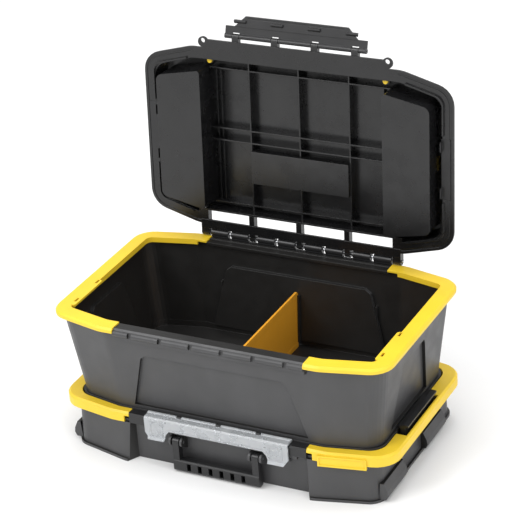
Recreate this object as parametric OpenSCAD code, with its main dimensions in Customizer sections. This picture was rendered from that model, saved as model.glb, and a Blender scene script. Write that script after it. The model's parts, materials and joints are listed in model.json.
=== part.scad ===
// Two-tier tool box: a deep open tote that clips onto a shallow organiser.
// Millimetres. X to the right, Y to the back, Z up, origin under the middle of the foot.

/* [Overall] */
// Outer width of the yellow rims
width = 500; // [460:2:540]
// Outer depth across the straight middle of the rims
depth = 296; // [280:2:320]
// Outer depth at the left and right ends
end_depth = 256; // [240:2:270]
// Half length of the straight middle part of the front and back
bend_x = 162; // [150:2:176]
// Half length of the black rails between the yellow rim ends
rail_x = 141; // [120:1:150]
// Radius of the outer vertical corners
corner_r = 32; // [24:1:40]
// How far the organiser's front stands in from the tote's rims
low_inset = 8; // [5:1:10]
// How far the top lid's edge stands in from the rims
lid_inset = 16; // [12:1:18]

/* [Levels] */
// Height of the organiser base
base_h = 58; // [50:1:70]
// Top of the organiser lid's rim
low_rim_z = 74; // [66:1:86]
// Top of the tote's rim
top_rim_z = 207; // [190:1:240]
// Height of the top lid's dome over its flange
lid_h = 30; // [24:1:40]
// How far the lid's two pockets reach down inside the tote
pod_drop = 18; // [10:1:24]

/* [Walls] */
// Wall of the tubs
wall = 3; // [2:0.2:4]
// Wall of the lid and its pockets
lid_wall = 2.4; // [2:0.2:4]
// Width of the rims seen from above
rim_w = 22; // [18:1:24]
// Skirt height of the top rims
skirt = 7; // [6:0.5:9]

/* [Hinges] */
// Angle at which the top lid stands open
lid_open = 94.5; // [90:0.5:110]
// Radius of the steel hinge pins
pin_r = 2; // [1.5:0.1:3]
// Radial play of a hinge bore on its pin
play = 0.08; // [0.02:0.01:0.1]
// Radius of the hinge barrels
barrel_r = 5.5; // [5:0.5:7]

/* [Handles and latches] */
// Length of the top lid's latch
top_latch_w = 213; // [180:1:230]
// Length of the clear front latch
front_latch_w = 216; // [180:2:230]
// Distance from the middle to the front handle's posts
post_x = 60; // [50:1:70]
// Length of the side latches
side_latch_l = 98; // [70:2:110]
// Middle of the side latches, measured from the box's middle
side_y = -10; // [-20:1:20]

/* [Hidden] */
$fn = 32;

CHARCOAL = [0.29, 0.29, 0.30];
BLACK = [0.12, 0.12, 0.13];
YELLOW = [0.94, 0.78, 0.14];
AMBER = [0.92, 0.62, 0.12];
STEEL = [0.70, 0.71, 0.73];
CLEAR = [0.84, 0.86, 0.88];

e = 0.01;
hw = width / 2;
hd = depth / 2;
he = end_depth / 2;
low_y = hd - low_inset;
recess_y = -(low_y - 9);
foot_y = low_y + 5;
// Plans: half width, half depth at the ends, bend, half depth in the middle, corner radius.
RIM = [hw, he, bend_x, hd, corner_r];
LOW = [hw, he - 4, bend_x, low_y, corner_r + 2];
BASE0 = [hw - 21, he - 4, bend_x - 20, foot_y, 20];
BASE1 = [hw - 21, he - 8, bend_x - 20, low_y - 1, 20];
LOW_IN = [hw - 20, he - 15, bend_x - 8, low_y - 12, 24];
FOOT = [hw - 21.5, he - 17, bend_x - 8, low_y - 14, 24];
TUB0 = [hw - 25, he - 18.5, bend_x - 9, low_y - 15.5, 26];
TUB1 = [hw - 9, he - 7, bend_x - 2, hd - 9, 27];
LID0 = [hw - lid_inset, he - lid_inset, bend_x - 3, hd - lid_inset, corner_r - 2];
LID1 = [LID0[0] - 14, LID0[1] - 12, LID0[2] - 2, LID0[3] - 14, 24];
LID2 = [LID0[0] - 19, LID0[1] - 16, LID0[2] - 3, LID0[3] - 18, 22];

lid_low = base_h + 0.3;
deck_z = base_h + 5;
tub_z = deck_z + 0.3;
tub_wall_z = tub_z + 12;
floor_z = tub_z + 3;
rail_y = hd - 4.5;
hinge = [hd - 2, top_rim_z + 5.9];
low_hinge = [low_y + 6, base_h - 2];
flange_z = top_rim_z + 0.4;
lid_top = top_rim_z + lid_h;
plate_z = lid_top - 3;
pod_z = top_rim_z - pod_drop;
pod_x = 140;
pod_w = 64;
latch_ax = [-(hd + 3), top_rim_z + 7];
front_ax = [-(low_y - 10), low_rim_z + 0.4];
side_ax = [hw - 13, deck_z + 4.5];
grip_ax = [-(low_y + 2), base_h - 12];
pan = [16, 64];
carry_ax = [pan.x + 10, lid_top - 9];
pocket_ax = [pod_x - 5, lid_top + 3.4];
divider_z = 151;
panel_z = tub_wall_z + 5;
latch_tilt = 15;
curb_x = rail_x - 7;
dome_y = 111;
arms = [-149, -74, 0, 74, 149];
arm_x = 155;

// Points of a polygon with its corners rounded by the radii R, n steps each.
function fillet(P, R, n) = [for (i = [0 : len(P) - 1])
  let (a = P[(i + len(P) - 1) % len(P)], b = P[i], c = P[(i + 1) % len(P)],
    u = (a - b) / norm(a - b), v = (c - b) / norm(c - b), ang = acos(u * v),
    t = R[i] / tan(ang / 2), m = b + (u + v) / norm(u + v) * R[i] / sin(ang / 2),
    s = b + u * t - m, f = b + v * t - m, a1 = atan2(s.y, s.x),
    d0 = atan2(f.y, f.x) - a1, d = d0 > 180 ? d0 - 360 : d0 < -180 ? d0 + 360 : d0)
  each [for (k = [0 : n]) m + R[i] * [cos(a1 + d * k / n), sin(a1 + d * k / n)]]];

// Half depth of the tote's wall outside at height z.
function wall_y(z) = TUB0[3] + (TUB1[3] - TUB0[3]) * (z - tub_wall_z) / (top_rim_z - tub_wall_z);

// Eight-sided plan with soft bends, moved inwards by t.
function plan(p, t = 0) = let (w = p[0] - t, s = p[1] - 0.78 * t, x = p[2] - 0.12 * t,
  y = p[3] - t, r = max(p[4] - t, 4))
  fillet([[-x, -y], [x, -y], [w, -s], [w, s], [x, y], [-x, y], [-w, s], [-w, -s]],
    [50, 50, r, r, 50, 50, r, r], 6);

module slab(p, t, z0, z1) translate([0, 0, z0]) linear_extrude(z1 - z0) polygon(plan(p, t));
// Solid from plan p at z0 to plan q at z1, with a straight band b high at each end.
module loft(p, z0, q, z1, t = 0, b = e) hull() {
  slab(p, t, z0, z0 + b);
  slab(q, t, z1 - b, z1);
}
module box(lo, hi) translate(lo) cube(hi - lo);
module sym(v = [1, 0, 0]) { children(); mirror(v) children(); }
// Cylinder along X from x0 to x1 about the axis c = [y, z].
module rod(c, r, x0, x1) translate([x0, c.x, c.y]) rotate([0, 90, 0]) cylinder(r = r, h = x1 - x0);
// Cylinder along Y from y0 to y1 about the axis c = [x, z].
module rod_y(c, r, y0, y1) translate([c.x, y1, c.y]) rotate([90, 0, 0]) cylinder(r = r, h = y1 - y0);
// Profile in Y and Z swept along X.
module prism_x(P, x0, x1) translate([x0, 0, 0]) rotate([90, 0, 90]) linear_extrude(x1 - x0) polygon(P);
// Profile in X and Z swept along Y.
module prism_y(P, y0, y1) translate([0, y1, 0]) rotate([90, 0, 0]) linear_extrude(y1 - y0) polygon(P);
// The half space beyond x on the right, as a tool.
module beyond(x) box([x, -300, -50], [400, 300, 400]);

// ---- Organiser base ----

module recess(t) linear_extrude(base_h + 10) polygon([[-144 - t, -low_y - 18], [-129 - t, recess_y + t],
  [129 + t, recess_y + t], [144 + t, -low_y - 18]]);

module base_cavity() difference() {
  loft(BASE0, wall, BASE1, base_h + 0.1, wall);
  recess(wall);
}

module organiser_base() color(CHARCOAL) difference() {
  union() {
    difference() {
      union() {
        loft(BASE0, 0, BASE1, base_h, b = 0.5);
        slab(BASE0, -3, 0, 4);
      }
      base_cavity();
      translate([0, 0, -1]) recess(0);
    }
    // Hinge barrels
    sym() for (x = [30, 108]) {
      rod(low_hinge, barrel_r - 0.5, x, x + 20);
      box([x, low_y - 2, base_h - 8], [x + 20, low_hinge.x, base_h - 2]);
    }
  }
  sym() for (x = [30, 108]) rod(low_hinge, pin_r, x - 1, x + 21);
}

// Tabs low on the sides that grip whatever the box is stacked on.
module base_tabs() color(CHARCOAL) difference() {
  sym() for (y = [-86, 49]) prism_y([[hw - 24, 4], [hw - 14, 4], [hw - 11, 10], [hw - 12, 17],
    [hw - 17, 28], [hw - 22, 28]], y - 33, y + 33);
  loft(BASE0, 0, BASE1, base_h, b = 0.5);
}

// Fixed partitions and their divider slots.
module organiser_partitions() color(CHARCOAL) intersection() {
  base_cavity();
  for (x = [-80, 80]) {
    box([x - 1, -200, wall], [x + 1, 200, base_h - 8]);
    for (s = [-1, 1], y = [-42, 46], d = [-2.4, 1.2])
      box([x + s * 2 - 1.5, y + d, wall], [x + s * 2 + 1.5, y + d + 1.2, base_h - 12]);
  }
}

// Shelf and catches under the front latch, and the ears of the front handle.
module front_shelf() color(CHARCOAL) difference() {
  union() {
    box([-118, -low_y + 3, base_h - 6], [118, recess_y, base_h]);
    sym() box([84, -low_y + 2.5, base_h - 11.8], [108, recess_y, base_h - 5.9]);
    sym() for (x = [post_x - 10, post_x + 6.8]) hull() {
      rod(grip_ax, 6.5, x, x + 3.2);
      box([x, recess_y - 1, base_h - 26], [x + 3.2, recess_y, base_h - 5.9]);
    }
  }
  sym() rod(grip_ax, pin_r, post_x - 20, post_x + 20);
}

module organiser_dividers() color(AMBER) for (y = [-42, 46]) {
  box([-78.6, y - 0.9, wall + 0.3], [78.6, y + 0.9, base_h - 10]);
  sym() box([81.4, y - 0.9, wall + 0.3], [hw - 25, y + 0.9, base_h - 10]);
}

module organiser_hinge_pin() color(STEEL) rod(low_hinge, pin_r, -130, 130);

// ---- Front handle ----

module front_handle() color(BLACK) difference() {
  union() {
    sym() {
      rod(grip_ax, 5.5, post_x - 4.8, post_x + 4.8);
      box([post_x - 4.8, grip_ax.x - 5.5, 6], [post_x + 4.8, grip_ax.x + 4.5, grip_ax.y]);
    }
    prism_x(fillet([[grip_ax.x - 7, 2], [grip_ax.x + 5.5, 2], [grip_ax.x + 5.5, 20],
      [grip_ax.x - 7, 20]], [4, 3, 3, 4], 4), -post_x - 4.8, post_x + 4.8);
  }
  sym() rod(grip_ax, pin_r + play, post_x - 8, post_x + 8);
  for (i = [-2.5 : 2.5]) box([i * 16.5 - 3, -200, 5.5], [i * 16.5 + 3, grip_ax.x + 2, 16.5]);
}

module front_handle_pins() color(STEEL) sym() rod(grip_ax, pin_r, post_x - 10, post_x + 10);

// ---- Organiser lid ----

module organiser_lid() color(BLACK) {
  curb = [[-low_y, lid_low], [-low_y + 14, lid_low], [-low_y + 14, low_rim_z - 4],
    [-low_y + 1.5, low_rim_z - 4], [-low_y, low_rim_z - 5.5]];
  difference() {
    union() {
      difference() {
        slab(LOW, 3.3, lid_low, deck_z);
        slab(BASE1, 7, lid_low - 1, deck_z - 2.6);
      }
      prism_x(curb, -curb_x + 0.5, curb_x - 0.5);
      sym() {
        box([front_latch_w / 2 + 1, -low_y, low_rim_z - 5], [curb_x - 0.5, -low_y + 12, low_rim_z]);
        box([curb_x - 30, low_y - 12, low_rim_z - 5], [curb_x - 0.5, low_y, low_rim_z]);
      }
      mirror([0, 1, 0]) prism_x(curb, -curb_x + 0.5, curb_x - 0.5);
      // Tongue that keeps the lid square on the base
      difference() {
        slab(BASE1, wall + 0.6, base_h - 3, lid_low + 1);
        slab(BASE1, wall + 2.6, base_h - 4, lid_low);
        translate([0, 0, base_h - 5]) linear_extrude(5.2) square([300, 400], center = true);
        sym() box([bend_x - 40, -200, base_h - 5], [bend_x, 200, lid_low - 0.1]);
      }
      // Hinge barrels at the back
      sym() for (x = [9.5, 87.5]) {
        rod(low_hinge, barrel_r - 0.5, x, x + 20);
        box([x, low_y - 2, lid_low], [x + 20, low_hinge.x, base_h + 3]);
      }
      // Front latch knuckles
      for (x = [-60, 0, 60]) {
        rod(front_ax, 2.9, x - 3.2, x + 3.2);
        box([x - 3.2, front_ax.x - 2.9, deck_z - 1], [x + 3.2, front_ax.x + 2.9, front_ax.y]);
      }
      // Lugs of the side latches
      sym() for (s = [-1, 1]) box([side_ax.x - 4, side_y + s * (side_latch_l / 2 + 3) - 2, deck_z - 1],
        [side_ax.x + 4, side_y + s * (side_latch_l / 2 + 3) + 2, side_ax.y + 3.5]);
    }
    sym() for (x = [9.5, 87.5]) rod(low_hinge, pin_r + play, x - 1, x + 21);
    rod(front_ax, 1.4, -64, 64);
    sym() rod_y(side_ax, 1.5, -120, 120);
  }
}

module organiser_rim() difference() {
  union() {
    difference() {
      loft(LOW, low_rim_z - 3, [LOW[0] - 2.6, LOW[1] - 2.4, LOW[2], LOW[3] - 2.6, LOW[4] - 2.6], low_rim_z);
      slab(LOW_IN, 0, 0, 200);
    }
    difference() {
      slab(LOW, 0, lid_low, low_rim_z - 2.9);
      slab(LOW, 3, 0, 200);
    }
    difference() {
      slab(LOW_IN, -3, deck_z, low_rim_z - 1);
      slab(LOW_IN, 0, 0, 200);
    }
  }
  box([-curb_x, -300, -1], [curb_x, 300, 300]);
  mirror([1, 0, 0]) beyond(0);
  // Stepped front end of the skirt
  box([curb_x, -300, 0], [curb_x + 8, -low_y + 3.2, low_rim_z - 6]);
  box([side_ax.x - 8, side_y - side_latch_l / 2 - 6, deck_z + 0.1],
    [hw - 5, side_y + side_latch_l / 2 + 6, 300]);
}

module organiser_rim_left() color(YELLOW) mirror([1, 0, 0]) organiser_rim();
module organiser_rim_right() color(YELLOW) {
  organiser_rim();
  // Label frame on the front of the skirt
  slope = (LOW[3] - LOW[1]) / (LOW[0] - LOW[2]);
  translate([183, -low_y + 1.7 + 21 * slope, low_rim_z - 20.5]) rotate([0, 0, atan(slope)]) difference() {
    translate([-33, -4, 0]) cube([66, 4, 16]);
    translate([-30.5, -5, 2.5]) cube([61, 2.2, 11]);
  }
}

// ---- Latches of the organiser ----

module front_latch() color(CLEAR) {
  y0 = -(low_y + 1.3);
  y1 = y0 - 2.4;
  z1 = low_rim_z - 0.6;
  h = front_latch_w / 2;
  plate = z1 - 15;
  difference() {
    union() {
      prism_x([[front_ax.x, z1], [front_ax.x - 1, z1 + 2.4], [y1 + 2, z1 + 2.4], [y1, z1 + 0.4], [y1, plate],
        [y0, plate], [y0, z1]], -h, h);
      for (x = [-h, -56, 4, 64]) rod(front_ax, 2.9, x, x == -h ? -64 : x == 64 ? h : x + 52);
      // Ears with chamfered corners and a flared finger edge
      sym() intersection() {
        prism_x([[y1, plate + 0.1], [y0, plate + 0.1], [y0, z1 - 28.5], [y0 - 4, z1 - 31.5],
          [y1 - 4, z1 - 30], [y1, z1 - 27]], h - 38, h);
        prism_y([[h - 38, plate + 1], [h - 32, z1 - 21], [h - 29, z1 - 32], [h - 7, z1 - 32], [h, z1 - 22],
          [h, plate + 1]], -200, 0);
      }
      // Snap lips
      sym() prism_x([[y0 - 0.5, base_h - 10], [y0 + 3.2, base_h - 12.4], [y0 + 3.2, base_h - 13.4],
        [y0 - 0.5, base_h - 14.4]], h - 24, h - 8);
      // Raised frames on the ears and a bead along the plate
      sym() difference() {
        box([h - 28, y1 - 0.7, z1 - 24], [h - 8, y1 + 0.1, z1 - 4]);
        box([h - 26, y1 - 2, z1 - 22.4], [h - 10, y1 + 1, z1 - 5.6]);
      }
      box([-h + 36, y1 - 0.7, plate + 1.5], [h - 36, y1 + 0.1, plate + 3]);
    }
    for (x = [-60, 0, 60]) box([x - 3.6, front_ax.x - 3.4, 0], [x + 3.6, front_ax.x + 4, 200]);
    rod(front_ax, 1.4 + play, -200, 200);
  }
}

module front_latch_pin() color(STEEL) rod(front_ax, 1.4, -63.2, 63.2);

module side_latch() {
  l = side_latch_l / 2;
  x = side_ax.x;
  z = side_ax.y;
  difference() {
    union() {
      rod_y(side_ax, 3.6, side_y - l, side_y + l);
      prism_y([[x - 3.2, z], [x + 3.2, z], [x + 3.4, z + 13], [x + 8, z + 14], [x + 8.4, z + 17], [x + 1, z + 17.5],
        [x - 6.8, z + 15], [x - 7.2, z + 12.6], [x - 3.2, z + 12]], side_y - l, side_y + l);
    }
    rod_y(side_ax, 1.5 + play, -100, 100);
    // Finger slot with ribs
    for (i = [-3 : 3]) box([x + 1.6, side_y + i * 8 - 2.6, z + 5], [x + 9, side_y + i * 8 + 2.6, z + 12.4]);
  }
}
module side_latch_pin() rod_y(side_ax, 1.5, side_y - side_latch_l / 2 - 5, side_y + side_latch_l / 2 + 5);
module side_latch_right() color(BLACK) side_latch();
module side_latch_left() color(BLACK) mirror([1, 0, 0]) side_latch();
module side_latch_pin_right() color(STEEL) side_latch_pin();
module side_latch_pin_left() color(STEEL) mirror([1, 0, 0]) side_latch_pin();

// ---- Tote ----

// Trapezoid panel of the front and back walls, as half widths at the bottom and top.
module wall_panel(b, t, y0, y1, z0, z1) prism_y([[-b, z0], [b, z0], [t + 4, z1 - 6],
  [t - 4, z1], [-t + 4, z1], [-t - 4, z1 - 6]], y0, y1);
// Wedge whose outer face follows the leaning wall, from depth d0 inwards.
module lean_y(d0, d1) {
  prism_x([for (q = [[d0, -20], [d0, 200], [d1, 200], [d1, -20]])
    [-(wall_y(tub_wall_z + q.y) - q.x), tub_wall_z + q.y]], -200, 200);
}
module lean_x(d0, d1) {
  k = (TUB1[0] - TUB0[0]) / (top_rim_z - tub_wall_z);
  prism_y([for (q = [[d0, -20], [d0, 200], [d1, 200], [d1, -20]])
    [TUB0[0] + k * q.y - q.x, tub_wall_z + q.y]], -200, 200);
}
module side_panel(g) translate([0, side_y, 0]) prism_x([[-60 - g, panel_z - g], [60 + g, panel_z - g],
  [38 + g, 164 + g], [34 + g, 170 + g], [-34 - g, 170 + g], [-38 - g, 164 + g]], 150, 300);
module tub_cavity() loft(TUB0, floor_z, TUB1, top_rim_z + 1, wall);

module tote_floor() color(CHARCOAL) difference() {
  slab(FOOT, 0, tub_z, tub_wall_z);
  tub_cavity();
}

module tote_tub() color(CHARCOAL) difference() {
  union() {
    difference() {
      loft(TUB0, tub_wall_z, TUB1, top_rim_z - 3);
      // Inside, less the panels that stand into it
      difference() {
        tub_cavity();
        sym([0, 1, 0]) intersection() { wall_panel(135, 109, -200, 0, panel_z - 4, 170); lean_y(0, 8); }
        sym() intersection() { side_panel(4); lean_x(0, 8); }
      }
    }
    // Guides for the divider
    for (x = [-118, 0, 118], s = [-1, 1]) sym([0, 1, 0]) intersection() {
      box([x + s * 3.1 - 1.2, -hd, tub_wall_z], [x + s * 3.1 + 1.2, -60, 146]);
      lean_y(1, abs(x) > 100 ? 7 : 12);
    }
    // Two upright ribs low on each end wall
    sym() for (y = [-78, -70]) intersection() {
      box([150, y - 1, tub_wall_z], [250, y + 1, 118]);
      lean_x(1, 6);
    }
  }
  // Recessed panels outside
  sym([0, 1, 0]) intersection() { wall_panel(131, 105, -200, 0, panel_z, 166); lean_y(-20, 4.5); }
  sym() intersection() { side_panel(0); lean_x(-20, 4.5); }
}

// Flange that the rims sit on, with the front and back rails.
module tote_flange() color(CHARCOAL) difference() {
  union() {
    difference() {
      slab(RIM, 4, top_rim_z - 6.4, top_rim_z - 3);
      tub_cavity();
      sym([0, 1, 0]) box([-rail_x, rail_y - 2, 0], [rail_x, 300, 300]);
    }
    sym([0, 1, 0]) {
      prism_x([[-rail_y, top_rim_z - 17], [-rail_y + 6, top_rim_z - 20], [-rail_y + 6, top_rim_z - 1],
        [-rail_y + 2, top_rim_z - 1], [-rail_y, top_rim_z - 3.5]], -rail_x, rail_x);
      // Inner lip of the rail
      box([-rail_x, -rail_y + 3, top_rim_z - 6], [rail_x, -hd + rim_w, top_rim_z - 2]);
    }
    // Segmented bar that the latch grips
    for (i = [-3 : 3]) rod([-rail_y, top_rim_z - 8], 4.2, i == -3 ? -rail_x : i * 46 - 20,
      i == 3 ? rail_x : i * 46 + 20);
  }
  difference() {
    loft(TUB0, tub_wall_z, TUB1, top_rim_z - 3);
    tub_cavity();
  }
}

module tote_rim() difference() {
  union() {
    difference() {
      loft(RIM, top_rim_z - 3, [RIM[0] - 2.8, RIM[1] - 2.6, RIM[2], RIM[3] - 2.8, RIM[4] - 2.8], top_rim_z);
      slab(RIM, rim_w, 0, 300);
    }
    difference() {
      slab(RIM, 0, top_rim_z - skirt, top_rim_z - 2.9);
      slab(RIM, 3, 0, 300);
    }
    difference() {
      slab(RIM, rim_w - 3, top_rim_z - 8, top_rim_z - 1);
      slab(RIM, rim_w, 0, 300);
      // The back end of the inner lip stops short
      box([-rail_x - 15, 0, 0], [rail_x + 15, 300, top_rim_z - 2.9]);
    }
    // Catch pad with two slots on the inner edge
    hull() for (y = [-101, -32]) translate([hw - rim_w - 1, y, top_rim_z - 3]) cylinder(r = 4, h = 3, $fn = 24);
  }
  box([-rail_x, -300, -1], [rail_x, 300, 300]);
  mirror([1, 0, 0]) beyond(0);
  for (y = [-90, -34]) box([hw - rim_w - 1.5, y - 5, 0], [hw - rim_w + 2, y + 5, 300]);
}
module tote_rim_right() color(YELLOW) tote_rim();
module tote_rim_left() color(YELLOW) mirror([1, 0, 0]) tote_rim();

module hinge_strip() color(BLACK) difference() {
  union() {
    box([-rail_x + 1, rail_y, top_rim_z - 18], [rail_x - 1, rail_y + 3.1, top_rim_z - 0.8]);
    for (i = [-2 : 1], o = [7.5, 39.5]) {
      rod(hinge, barrel_r - 0.3, i * 74 + o, i * 74 + o + 27);
      box([i * 74 + o, hinge.x - 3, top_rim_z - 0.9], [i * 74 + o + 27, hinge.x + 3, hinge.y]);
    }
  }
  rod(hinge, pin_r, -160, 160);
}

module lid_hinge_pin() color(STEEL) rod(hinge, pin_r, -157, 157);

module tote_divider() color(AMBER) difference() {
  foot = wall_y(floor_z) - 8.8;
  top = wall_y(divider_z) - 8.8;
  prism_x([[-foot, floor_z + 0.3], [foot, floor_z + 0.3], [top, divider_z - 3], [top - 3, divider_z],
    [-top + 3, divider_z], [-top, divider_z - 3]], -1.5, 1.5);
  // Shallow step under the stiffened top edge
  sym() box([1.1, -foot + 2, floor_z + 8], [3, foot - 2, divider_z - 8]);
}

// ---- Top lid, drawn shut ----

module stand_open() translate([0, hinge.x, hinge.y]) rotate([-lid_open, 0, 0])
  translate([0, -hinge.x, -hinge.y]) children();

module pod_plan(t) polygon(fillet([[pod_x + t, -101 + t], [pod_x + pod_w - t, -88 + t * 0.9],
  [pod_x + pod_w - t, 88 - t * 0.9], [pod_x + t, 101 - t]], [4, 10, 10, 4], 4));
module pod(t, z0, z1) translate([0, 0, z0]) linear_extrude(z1 - z0) pod_plan(t);

module lid_cavity() loft(LID1, flange_z - 1, LID2, plate_z, lid_wall);
module pan_block(t, z0) box([-75 + t, pan.x + t, z0], [75 - t, pan.y - t, lid_top + t]);

module top_lid() color(BLACK) stand_open() difference() {
  tongue = hd - 4;
  union() {
    difference() {
      union() {
        slab(LID0, 0, flange_z, flange_z + 3);
        loft(LID1, flange_z + 1, LID2, lid_top);
      }
      lid_cavity();
      box([-arm_x, dome_y, 0], [arm_x, 300, 400]);
    }
    // Wall round the space behind the dome
    intersection() {
      loft(LID1, flange_z, LID2, lid_top);
      difference() {
        box([-arm_x - lid_wall, dome_y - lid_wall, 0], [arm_x + lid_wall, 300, 400]);
        box([-arm_x, dome_y, 0], [arm_x, 300, 400]);
      }
    }
    // Tongue that covers the front rail between the rims
    box([-rail_x + 1, -tongue, flange_z], [rail_x - 1, -hd + lid_inset + 4, flange_z + 3]);
    // Inner bead that drops inside the rim
    intersection() {
      difference() {
        slab(LID0, 14, flange_z - 3, flange_z + 2);
        slab(LID0, 14 + lid_wall, 0, 300);
      }
      sym() for (s = [-1, 1]) box([165, s > 0 ? 48 : -300, 0], [300, s > 0 ? 300 : -48, 300]);
    }
    // Knuckles of the latch along the front
    for (x = [-90, -30, 30, 90]) {
      rod(latch_ax, 3.6, x - 5, x + 5);
      box([x - 5, latch_ax.x, flange_z + 2.5], [x + 5, -tongue + 6, latch_ax.y + 3.4]);
    }
    // Padlock eyes at the front corners of the tongue
    sym() translate([rail_x - 2, -tongue + 4, flange_z]) cylinder(r = 7.5, h = 3);
    sym() pocket_knuckles();
    // Bosses of the buffers
    sym() translate([133, -112, plate_z - 18]) cylinder(r = 5.5, h = 18.5);
  }
  // Groove under the flange
  difference() {
    slab(LID0, 4, flange_z - 1, flange_z + 0.8);
    slab(LID0, 6.5, 0, 300);
    box([-arm_x, -300, 0], [arm_x, 300, 300]);
  }
  pan_block(0, plate_z - 1);
  rod(latch_ax, 1.4, -96, 96);
  sym() {
    pod(-lid_wall, plate_z - 1, lid_top + 1);
    translate([rail_x - 2, -tongue + 2, flange_z - 1]) cylinder(r = 3.5, h = 5);
    translate([133, -112, plate_z - 19]) cylinder(r = 2.5, h = 14);
    translate([133, -112, plate_z - 22]) cylinder(r = 3.7, h = 4);
    rod_y(pocket_ax, 1.4, -70, 70);
    // Seat of the side tab
    box([hw - 34, -43, 0], [hw - 21, 43, flange_z + 1.2]);
    // Slot of the pocket latch
    box([pod_x + pod_w + 4, side_y + 2, plate_z - 5], [pod_x + pod_w + 9.2, side_y + 21, 400]);
  }
}

// Ribs inside the dome, kept clear of the pockets.
module lid_ribs() color(BLACK) stand_open() difference() {
  inner = pod_x - lid_wall;
  back = dome_y - lid_wall;
  intersection() {
    lid_cavity();
    union() {
      for (y = [-100, -12, 6, 100]) box([-inner, y - 1, plate_z - 14], [inner, y + 1, plate_z]);
      for (x = [-76, 0, 76]) box([x - 1, -120, plate_z - 14], [x + 1, back, plate_z]);
      sym() for (x = [124, 131]) box([x - 0.8, -101, plate_z - 6], [x + 0.8, 101, plate_z]);
    }
  }
  pan_block(0, plate_z - 19);
}

module lid_pocket() difference() {
  pod(-lid_wall, pod_z, lid_top);
  pod(0, pod_z + lid_wall, lid_top + 1);
}
module lid_pocket_right() color(BLACK) stand_open() lid_pocket();
module lid_pocket_left() color(BLACK) stand_open() mirror([1, 0, 0]) lid_pocket();

// Pan that the carrying handle folds into.
module lid_pan() color(BLACK) stand_open() difference() {
  pan_block(0, plate_z - 19);
  pan_block(lid_wall, plate_z - 19 + lid_wall);
  rod(carry_ax, pin_r, -80, 80);
}

module lid_hinge_arms() color(BLACK) stand_open() difference() {
  union() {
    box([-arm_x, 126, flange_z], [arm_x, 139, flange_z + 3]);
    for (x = arms) {
      w = abs(x) > 100 ? 6 : 4;
      rod(hinge, barrel_r, x - w, x + w);
      box([x - w, dome_y, flange_z + 0.2], [x + w, hinge.x, hinge.y + barrel_r - 0.5]);
    }
  }
  rod(hinge, pin_r + play, -160, 160);
}

module pocket_knuckles() for (y = [-60, 60]) {
  rod_y(pocket_ax, 3, y - 6, y + 6);
  box([pocket_ax.x - 3, y - 6, lid_top - 0.5], [pocket_ax.x + 3, y + 6, pocket_ax.y]);
}

module lid_buffers() color(YELLOW) stand_open() sym() translate([133, -112, plate_z - 21]) {
  cylinder(r = 2.5, h = 14);
  cylinder(r = 3.6, h = 3);
}

module lid_tabs() color(BLACK) stand_open() sym() {
  box([hw - 34, -43, flange_z - 0.2], [hw - 21, 43, flange_z + 1.2]);
  for (y = [-40, 26]) box([hw - 34, y, flange_z - 6], [hw - 32.4, y + 14, flange_z - 0.2]);
}

module top_latch() color(BLACK) stand_open() translate([0, latch_ax.x, latch_ax.y]) rotate([-latch_tilt, 0, 0]) {
  h = top_latch_w / 2;
  difference() {
    union() {
      difference() {
        rod([0, 0], 3.6, -h, h);
        for (x = [-90, -30, 30, 90]) box([x - 5.4, -10, -10], [x + 5.4, 10, 10]);
      }
      // Plate, grip and lip, pointing away from the lid
      box([-h, -14, -1.2], [h, -5, 1.6]);
      for (x = [-h, -84.6, -24.6, 35.4, 95.4]) box([x, -6, -1.2], [x == -h ? -95.4 : min(x + 49.2, h), 0, 1.6]);
      translate([0, -14, -2.2]) linear_extrude(4.4) polygon([[-h + 14, 0.4], [h - 14, 0.4], [h - 30, -15],
        [-h + 30, -15]]);
      for (x = [-84, -28, 28, 84]) prism_x([[-18, -2], [-23.4, -2], [-22.5, -4.6], [-20.3, -4.6]], x - 9, x + 9);
    }
    rod([0, 0], 1.4 + play, -200, 200);
    for (y = [-18, -22, -26]) box([-h + 34, y - 0.8, 1.4], [h - 34, y + 0.8, 4]);
    box([-h + 34, -26.7, -4], [h - 34, -25.3, -1.4]);
  }
}

module top_latch_pin() color(STEEL) stand_open() rod(latch_ax, 1.4, -95, 95);

module carry_handle() color(BLACK) stand_open() difference() {
  union() {
    sym() {
      rod(carry_ax, 6.5, 62, 71);
      box([62, carry_ax.x, carry_ax.y - 5], [71, pan.y - 12, carry_ax.y + 6]);
    }
    prism_x(fillet([[pan.y - 21, carry_ax.y - 6], [pan.y - 4, carry_ax.y - 6], [pan.y - 4, carry_ax.y + 7],
      [pan.y - 21, carry_ax.y + 7]], [4, 4, 4, 4], 4), -71, 71);
  }
  sym() rod(carry_ax, pin_r + play, 56, 76);
  // Seat of the soft grip
  prism_x([[pan.y - 23, carry_ax.y - 10], [pan.y, carry_ax.y - 10], [pan.y, carry_ax.y - 3.4],
    [pan.y - 23, carry_ax.y - 3.4]], -50, 50);
}

module handle_grip() color(YELLOW) stand_open() difference() {
  prism_x(fillet([[pan.y - 21, carry_ax.y - 7.4], [pan.y - 4, carry_ax.y - 7.4], [pan.y - 4, carry_ax.y - 3.4],
    [pan.y - 21, carry_ax.y - 3.4]], [3, 3, 0.2, 0.2], 4), -49.9, 49.9);
  for (i = [-5 : 5]) box([i * 9 - 1, 0, carry_ax.y - 9], [i * 9 + 1, 100, carry_ax.y - 6.4]);
}

module carry_handle_pins() color(STEEL) stand_open() sym() rod(carry_ax, pin_r, 60, 75);

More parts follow.
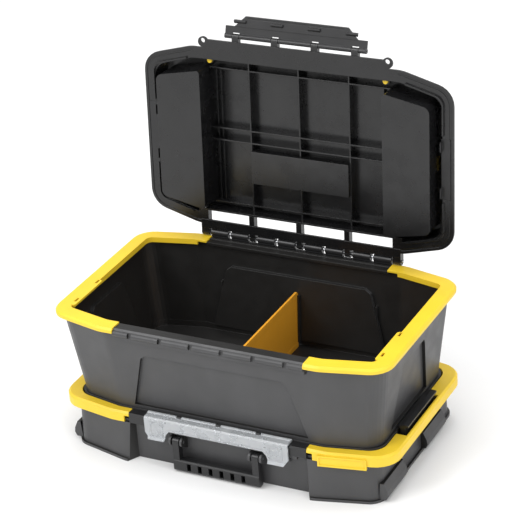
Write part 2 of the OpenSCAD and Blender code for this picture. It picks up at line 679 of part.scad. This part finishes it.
module pocket_cover() difference() {
  union() {
    translate([0, 0, lid_top + 0.3]) linear_extrude(2.6) pod_plan(-3);
    translate([0, 0, lid_top + 2.8]) linear_extrude(1.2) pod_plan(8);
    for (y = [-40, 0, 40]) {
      rod_y(pocket_ax, 3, y - 13.6, y + 13.6);
      box([pocket_ax.x, y - 13.6, lid_top + 0.3], [pod_x, y + 13.6, lid_top + 2.9]);
    }
  }
  rod_y(pocket_ax, 1.4 + play, -100, 100);
  for (y = [-60, 60]) box([pod_x - 20, y - 6.4, 0], [pod_x - 1.2, y + 6.4, 400]);
  box([pod_x + pod_w - 6, side_y + 1, lid_top], [pod_x + pod_w + 8, side_y + 22, 400]);
}
module pocket_cover_right() color(BLACK) stand_open() pocket_cover();
module pocket_cover_left() color(BLACK) stand_open() mirror([1, 0, 0]) pocket_cover();
module pocket_pin() rod_y(pocket_ax, 1.4, -66, 66);
module pocket_pin_right() color(STEEL) stand_open() pocket_pin();
module pocket_pin_left() color(STEEL) stand_open() mirror([1, 0, 0]) pocket_pin();

module pocket_latch() {
  x = pod_x + pod_w;
  box([x - 6, side_y + 1, lid_top + 0.5], [x + 12.5, side_y + 22, lid_top + 3.4]);
  box([x + 5, side_y + 3, lid_top - 10], [x + 7, side_y + 20, lid_top + 0.6]);
  box([x + 12, side_y + 3, lid_top + 0.5], [x + 15, side_y + 20, lid_top + 5]);
}
module pocket_latch_right() color(YELLOW) stand_open() pocket_latch();
module pocket_latch_left() color(YELLOW) stand_open() mirror([1, 0, 0]) pocket_latch();

module pocket_dividers() color(AMBER) stand_open() sym() for (y = [-34, 34])
  box([pod_x + 0.2, y - 0.8, pod_z + lid_wall + 0.2], [pod_x + pod_w - 0.2, y + 0.8, lid_top - 2]);

organiser_base();
base_tabs();
organiser_partitions();
front_shelf();
organiser_dividers();
organiser_hinge_pin();
front_handle();
front_handle_pins();
organiser_lid();
organiser_rim_left();
organiser_rim_right();
front_latch();
front_latch_pin();
side_latch_left();
side_latch_right();
side_latch_pin_left();
side_latch_pin_right();
tote_floor();
tote_tub();
tote_flange();
tote_rim_left();
tote_rim_right();
hinge_strip();
lid_hinge_pin();
tote_divider();
top_lid();
lid_ribs();
lid_pocket_left();
lid_pocket_right();
lid_pan();
lid_hinge_arms();
lid_buffers();
lid_tabs();
top_latch();
top_latch_pin();
carry_handle();
handle_grip();
carry_handle_pins();
pocket_cover_left();
pocket_cover_right();
pocket_pin_left();
pocket_pin_right();
pocket_latch_left();
pocket_latch_right();
pocket_dividers();
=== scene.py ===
"""Looks of the two-tier tool box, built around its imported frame."""
import json
import math

import bpy
from mathutils import Matrix, Vector

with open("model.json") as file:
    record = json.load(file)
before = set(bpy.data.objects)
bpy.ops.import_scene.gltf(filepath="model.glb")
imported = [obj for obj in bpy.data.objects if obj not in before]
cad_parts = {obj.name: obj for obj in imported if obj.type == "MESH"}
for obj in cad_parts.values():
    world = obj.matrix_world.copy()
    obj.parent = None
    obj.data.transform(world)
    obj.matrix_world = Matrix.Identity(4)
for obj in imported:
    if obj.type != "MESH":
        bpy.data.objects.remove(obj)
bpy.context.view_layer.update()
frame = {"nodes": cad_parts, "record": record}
NODES = frame["nodes"]
MM = 0.001

# Marks in moulded plastic and patches of painted edge highlight: how far across, and how deep the
# grain is
FLOW_SIZE = 60 * MM
PATCH_SIZE = 25 * MM
HIGHLIGHT_PATCH_SIZE = 9 * MM
SPARK_SIZE = 0.9 * MM
SPARK_DEPTH = 0.12 * MM
# A painted edge highlight is this much brighter than the colour, plus a little white
EDGE_HIGHLIGHT_GAIN = 1.5
EDGE_HIGHLIGHT_LIFT = 0.03
# Frosted clear plastic
CLOUD_SIZE = 18 * MM
FROST_SIZE = 1.2 * MM
FROST_DEPTH = 0.1 * MM
CLEAR_EDGE = 0.6 * MM
# Drawn steel
MARK_SIZE = 0.6 * MM
MARK_DEPTH = 0.05 * MM

FLOOR_SIDE = 20
FLOOR_COLOUR = (0.93, 0.93, 0.93, 1)
WORLD_STRENGTH = 0.68
SENSOR_WIDTH = 36
# Name, place, aim, size in metres and power in watts of each light
LIGHTS = (
    ("key", (-1.6, -2.2, 2.6), (0, 0, 0.15), 1.8, 60),
    ("fill", (2.6, -1.2, 1.6), (0, 0, 0.15), 1.6, 22),
    ("top", (0.2, 0.4, 3.0), (0, 0, 0.2), 2.2, 50),
)

# ---- Node helpers ----


def new_material(name):
    """An empty node material with its output, its Principled shader and object coordinates."""
    mat = bpy.data.materials.new(name)
    mat.use_nodes = True
    tree = mat.node_tree
    tree.nodes.clear()
    out = tree.nodes.new("ShaderNodeOutputMaterial")
    shader = tree.nodes.new("ShaderNodeBsdfPrincipled")
    tree.links.new(shader.outputs["BSDF"], out.inputs["Surface"])
    coords = tree.nodes.new("ShaderNodeTexCoord").outputs["Object"]
    return mat, tree, shader, coords


def noise(tree, coords, size, detail=3.0, stretch=None):
    """Noise whose features are about size metres across."""
    if stretch:
        mapping = tree.nodes.new("ShaderNodeMapping")
        mapping.inputs["Scale"].default_value = stretch
        tree.links.new(coords, mapping.inputs["Vector"])
        coords = mapping.outputs["Vector"]
    node = tree.nodes.new("ShaderNodeTexNoise")
    node.inputs["Scale"].default_value = 1 / size
    node.inputs["Detail"].default_value = detail
    tree.links.new(coords, node.inputs["Vector"])
    return node.outputs["Fac"]


def remap(tree, value, low, high, start=0.3, end=0.7):
    """value from start..end to low..high."""
    node = tree.nodes.new("ShaderNodeMapRange")
    limits = {"From Min": start, "From Max": end, "To Min": low, "To Max": high}
    for socket, number in limits.items():
        node.inputs[socket].default_value = number
    tree.links.new(value, node.inputs["Value"])
    return node.outputs["Result"]


def ramp(tree, value, stops):
    """Colour ramp through (place, colour) stops."""
    node = tree.nodes.new("ShaderNodeValToRGB")
    while len(node.color_ramp.elements) < len(stops):
        node.color_ramp.elements.new(1.0)
    for element, (place, colour) in zip(node.color_ramp.elements, stops):
        element.position = place
        element.color = (*colour, 1)
    tree.links.new(value, node.inputs["Fac"])
    return node.outputs["Color"]


def bump(tree, height, strength, depth, normal=None):
    """Bump of the given depth in metres."""
    node = tree.nodes.new("ShaderNodeBump")
    node.inputs["Strength"].default_value = strength
    node.inputs["Distance"].default_value = depth
    tree.links.new(height, node.inputs["Height"])
    if normal:
        tree.links.new(normal, node.inputs["Normal"])
    return node.outputs["Normal"]


def vector_math(tree, operation, first, second=None):
    """A vector operation; second is a socket, a plain vector or nothing."""
    node = tree.nodes.new("ShaderNodeVectorMath")
    node.operation = operation
    tree.links.new(first, node.inputs[0])
    if isinstance(second, tuple):
        node.inputs[1].default_value = second
    elif second:
        tree.links.new(second, node.inputs[1])
    return node.outputs["Value" if operation == "DOT_PRODUCT" else "Vector"]


def face_normal(tree):
    """Normal of the face itself."""
    return tree.nodes.new("ShaderNodeNewGeometry").outputs["Normal"]


def rounded_normal(tree, radius):
    """Normal that is rounded along sharp edges."""
    node = tree.nodes.new("ShaderNodeBevel")
    node.samples = 4
    node.inputs["Radius"].default_value = radius
    return node.outputs["Normal"]


def edge_mask(tree, rounded):
    """1 where the rounded normal leaves the face's own, 0 on flat faces."""
    agreement = vector_math(tree, "DOT_PRODUCT", rounded, face_normal(tree))
    return remap(tree, agreement, 1.0, 0.0, 0.72, 0.995)


def blend(tree, factor, first, second):
    """Colour between first at 0 and second at 1; second is a socket or an RGB triple."""
    node = tree.nodes.new("ShaderNodeMix")
    node.data_type = "RGBA"
    tree.links.new(factor, node.inputs["Factor"])
    tree.links.new(first, node.inputs["A"])
    if isinstance(second, tuple):
        node.inputs["B"].default_value = (*second, 1)
    else:
        tree.links.new(second, node.inputs["B"])
    return node.outputs["Result"]


def facing_in(tree, coords):
    """With the box at rest, 1 on faces towards its upright middle axis and 0 on outer ones."""
    flat = vector_math(tree, "MULTIPLY", coords, (1, 1, 0))
    away = vector_math(tree, "NORMALIZE", flat)
    outward = vector_math(tree, "DOT_PRODUCT", away, face_normal(tree))
    return remap(tree, outward, 1.0, 0.0, 0.0, 0.25)


def moulded(name, colour, painted_inside_shade=None, tone=0.12, rough=0.45, grain=0.25, edge_highlight=0.35,
            edge=0.8 * MM, specular=0.5):
    """Moulded plastic: flow marks, spark grain, painted highlights along edges and, if given, a
    painted shade colour on faces turned inwards.
    """
    mat, tree, shader, coords = new_material(name)
    flow = noise(tree, coords, FLOW_SIZE, 4, stretch=(1, 1, 0.4))
    dark = [c * (1 - tone) for c in colour]
    light = [min(c * (1 + tone), 1) for c in colour]
    body = ramp(tree, flow, ((0.3, dark), (0.7, light)))
    # Faces turned towards the box's middle take the darker colour: painted shade for the inside of
    # the tub
    if painted_inside_shade:
        body = blend(tree, facing_in(tree, coords), body, painted_inside_shade)
    rounded = rounded_normal(tree, edge)
    # Rounded edges are brightened in patches: a painted highlight
    highlight_colour = [min(c * EDGE_HIGHLIGHT_GAIN + EDGE_HIGHLIGHT_LIFT, 1) for c in colour]
    highlight_patches = noise(tree, coords, HIGHLIGHT_PATCH_SIZE, 5)
    amount = tree.nodes.new("ShaderNodeMath")
    amount.operation = "MULTIPLY"
    tree.links.new(edge_mask(tree, rounded), amount.inputs[0])
    tree.links.new(remap(tree, highlight_patches, 0.0, edge_highlight, 0.35, 0.7), amount.inputs[1])
    tree.links.new(blend(tree, amount.outputs["Value"], body, tuple(highlight_colour)),
                   shader.inputs["Base Color"])
    patches = noise(tree, coords, PATCH_SIZE, 4)
    tree.links.new(remap(tree, patches, rough - 0.05, rough + 0.07), shader.inputs["Roughness"])
    spark = noise(tree, coords, SPARK_SIZE, 2)
    tree.links.new(bump(tree, spark, grain, SPARK_DEPTH, rounded), shader.inputs["Normal"])
    shader.inputs["Specular IOR Level"].default_value = specular
    return mat


def clear_plastic(name):
    """Frosted clear polypropylene."""
    mat, tree, shader, coords = new_material(name)
    cloud = noise(tree, coords, CLOUD_SIZE, 4)
    tree.links.new(ramp(tree, cloud, ((0.3, (0.70, 0.73, 0.76)), (0.7, (0.84, 0.86, 0.88)))),
                   shader.inputs["Base Color"])
    tree.links.new(remap(tree, cloud, 0.22, 0.36), shader.inputs["Roughness"])
    frost = noise(tree, coords, FROST_SIZE, 2)
    rounded = rounded_normal(tree, CLEAR_EDGE)
    tree.links.new(bump(tree, frost, 0.2, FROST_DEPTH, rounded), shader.inputs["Normal"])
    shader.inputs["Transmission Weight"].default_value = 0.55
    shader.inputs["IOR"].default_value = 1.45
    return mat


def steel(name):
    """Drawn steel with fine marks."""
    mat, tree, shader, coords = new_material(name)
    marks = noise(tree, coords, MARK_SIZE, 3, stretch=(3, 3, 1))
    tree.links.new(ramp(tree, marks, ((0.3, (0.42, 0.43, 0.45)), (0.7, (0.62, 0.63, 0.65)))),
                   shader.inputs["Base Color"])
    tree.links.new(remap(tree, marks, 0.22, 0.38), shader.inputs["Roughness"])
    tree.links.new(bump(tree, marks, 0.15, MARK_DEPTH), shader.inputs["Normal"])
    shader.inputs["Metallic"].default_value = 1.0
    return mat


MATERIALS = {
    # The charcoal's darker inside colour is painted shade
    "charcoal": moulded("charcoal_plastic", (0.052, 0.052, 0.054),
                        painted_inside_shade=(0.012, 0.0115, 0.011), rough=0.42, grain=0.3),
    "black": moulded("black_plastic", (0.013, 0.013, 0.014), rough=0.34, grain=0.2),
    "lid_black": moulded("lid_plastic", (0.008, 0.008, 0.0085), rough=0.24, grain=0.1),
    "yellow": moulded("yellow_plastic", (0.87, 0.60, 0.030), tone=0.05, rough=0.42, grain=0.3,
                      edge_highlight=0.15),
    "amber": moulded("amber_plastic", (0.80, 0.36, 0.025), tone=0.06, rough=0.40, grain=0.15),
    "grip": moulded("grip_rubber", (0.85, 0.57, 0.03), tone=0.08, rough=0.72, grain=0.5, edge_highlight=0.2),
    "clear": clear_plastic("clear_plastic"),
    "steel": steel("pin_steel"),
}


def node_slots():
    """Material slot of each CAD node, from the record."""
    return {part["node"]: part["material_slot"] for part in frame["record"]["subparts"]}


def dress(obj, mat, angle=35):
    """Gives an object one material and smooth shading up to the angle."""
    obj.data.materials.clear()
    obj.data.materials.append(mat)
    obj.data.polygons.foreach_set("use_smooth", [True] * len(obj.data.polygons))
    with bpy.context.temp_override(object=obj, active_object=obj, selected_editable_objects=[obj]):
        bpy.ops.object.shade_smooth_by_angle(angle=math.radians(angle))


for node, slot in node_slots().items():
    dress(NODES[node], MATERIALS[slot])

# ---- Floor, light and camera ----


def studio():
    """Pale floor, white surround and three large soft lights."""
    bpy.context.scene.view_settings.view_transform = "Standard"
    world = bpy.data.worlds.new("studio")
    world.use_nodes = True
    background = world.node_tree.nodes["Background"]
    background.inputs["Color"].default_value = (1, 1, 1, 1)
    background.inputs["Strength"].default_value = WORLD_STRENGTH
    bpy.context.scene.world = world
    mesh = bpy.data.meshes.new("floor")
    floor = bpy.data.objects.new("floor", mesh)
    bpy.context.scene.collection.objects.link(floor)
    side = FLOOR_SIDE
    mesh.from_pydata([(-side, -side, 0), (side, -side, 0), (side, side, 0), (-side, side, 0)], [],
                     [(0, 1, 2, 3)])
    mat, _, shader, _ = new_material("pale_floor")
    shader.inputs["Base Color"].default_value = FLOOR_COLOUR
    shader.inputs["Roughness"].default_value = 0.9
    mesh.materials.append(mat)
    for light in LIGHTS:
        soft_light(*light)


def soft_light(name, place, aim, size, power):
    """Square area light at place, turned to aim."""
    light = bpy.data.lights.new(name, "AREA")
    light.size = size
    light.energy = power
    lamp = bpy.data.objects.new(name, light)
    lamp.location = place
    lamp.rotation_euler = (Vector(place) - Vector(aim)).to_track_quat("Z", "Y").to_euler()
    bpy.context.scene.collection.objects.link(lamp)


def camera(azimuth, elevation, roll, distance, target, focal_over_width, shift):
    """Camera at azimuth and elevation in degrees around target, metres."""
    a, e, r = (math.radians(v) for v in (azimuth, elevation, roll))
    back = Vector((math.sin(a) * math.cos(e), -math.cos(a) * math.cos(e), math.sin(e)))
    right = Vector((0, 0, 1)).cross(back).normalized()
    up = back.cross(right)
    x_axis = right * math.cos(r) + up * math.sin(r)
    y_axis = up * math.cos(r) - right * math.sin(r)
    data = bpy.data.cameras.new("camera")
    data.sensor_width = SENSOR_WIDTH
    data.lens = SENSOR_WIDTH * focal_over_width
    data.shift_x, data.shift_y = shift
    data.clip_end = 50
    cam = bpy.data.objects.new("camera", data)
    turn = Matrix((x_axis, y_axis, back)).transposed().to_4x4()
    cam.matrix_world = Matrix.Translation(Vector(target) + back * distance) @ turn
    bpy.context.scene.collection.objects.link(cam)
    bpy.context.scene.camera = cam


studio()
camera(azimuth=28.35, elevation=26.9, roll=-4.48, distance=3.245, target=(-0.128, 0.2737, 0.1139),
       focal_over_width=4.0786, shift=(0.0008, -0.0181))
